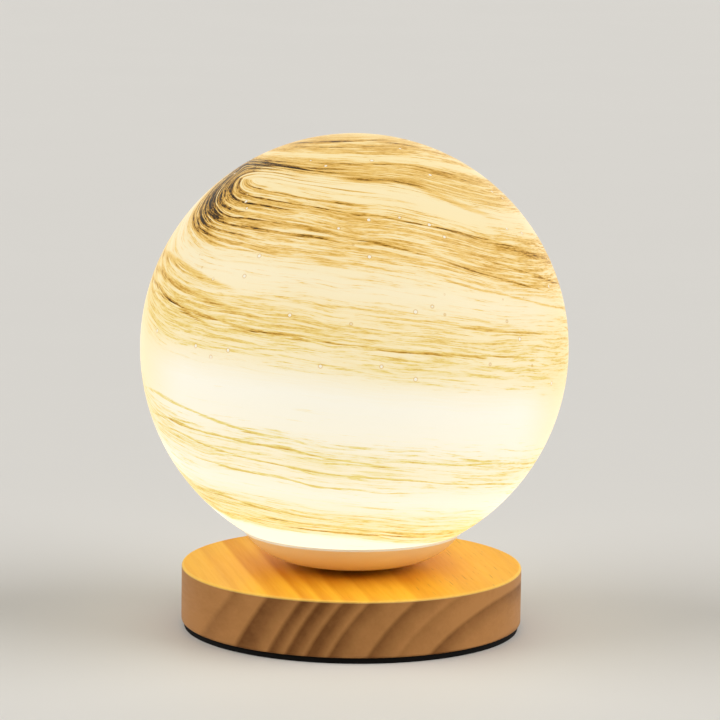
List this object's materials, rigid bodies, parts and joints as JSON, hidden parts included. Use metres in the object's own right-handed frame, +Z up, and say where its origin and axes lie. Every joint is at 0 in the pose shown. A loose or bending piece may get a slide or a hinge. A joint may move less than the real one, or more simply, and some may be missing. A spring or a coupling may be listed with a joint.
{
  "type": "globe table lamp",
  "caption": "Table lamp: a streaked glass globe on a small white cup, on a round wooden base with a power inlet and a push button at the back.",
  "frame": {"origin": "centre of the anti-slip pad's underside, on the surface that the lamp stands on", "axes": "+Z up through the middle of the base and the globe; +Y to the back, where the inlet and the button are; the picture looks along +Y"},
  "size_m": [0.15, 0.15, 0.1744],
  "materials": {
    "streaked_glass": "polished opal glass with golden brown streaks, lit from inside",
    "pine_wood": "satin clear lacquer over pale pine",
    "cup_white": "satin white paint",
    "clear_silicone": "translucent silicone",
    "foam_black": "matte black foam",
    "cover_black": "matte black paint",
    "plate_black": "fine grained black plastic",
    "zinc_steel": "zinc plated",
    "inlet_steel": "nickel plated",
    "contact_brass": "bare brass",
    "white_ceramic": "glazed",
    "bulb_plastic": "white plastic",
    "bulb_frosted": "frosted cover",
    "chip_yellow": "light chips",
    "board_green": "green board",
    "part_black": "moulded electronic parts",
    "coil_grey": "ferrite",
    "can_aluminium": "capacitor cans",
    "spacer_nylon": "nylon",
    "wire_red": "wire insulation",
    "wire_black": "wire insulation",
    "button_black": "smooth black plastic"
  },
  "bodies": {
    "root": {"anti_slip_pad": "foam_black", "wood_base": "pine_wood", "base_cover": "cover_black", "cover_screws": "zinc_steel", "port_plate": "plate_black", "port_plate_screws": "zinc_steel", "usb_c_shell": "inlet_steel", "usb_c_tongue": "part_black", "switch_body": "part_black", "driver_board": "board_green", "board_spacers": "spacer_nylon", "board_screws": "zinc_steel", "power_inductor": "coil_grey", "driver_chip": "part_black", "smoothing_capacitors": "can_aluminium", "wire_terminal": "part_black", "lamp_wire_red": "wire_red", "lamp_wire_black": "wire_black", "threaded_tube": "zinc_steel", "lower_washer": "zinc_steel", "lower_nut": "zinc_steel", "upper_washer": "zinc_steel", "upper_nut": "zinc_steel", "support_cup": "cup_white", "light_plate": "cup_white", "light_plate_screws": "zinc_steel", "globe_gasket": "clear_silicone", "lampholder": "white_ceramic", "lampholder_contacts": "contact_brass", "lampholder_screws": "zinc_steel"},
    "globe": {"glass_globe": "streaked_glass"},
    "bulb": {"bulb_base": "bulb_plastic", "bulb_pins": "zinc_steel", "bulb_core": "bulb_plastic", "bulb_chips": "chip_yellow", "bulb_cover": "bulb_frosted"},
    "button": {"switch_plunger": "spacer_nylon", "power_button": "button_black"}
  },
  "joints": [
    {"name": "globe_lift", "type": "slide", "parent": "root", "child": "globe", "axis": [0, 0, 1], "range_m": [0, 0.07]},
    {"name": "bulb_pull", "type": "slide", "parent": "root", "child": "bulb", "axis": [0, 0, 1], "range_m": [0, 0.012]},
    {"name": "button_press", "type": "slide", "parent": "root", "child": "button", "axis": [0, -1, 0], "range_m": [0, 0.0015], "stiffness_N_per_m": 400, "springref_m": -0.001}
  ]
}
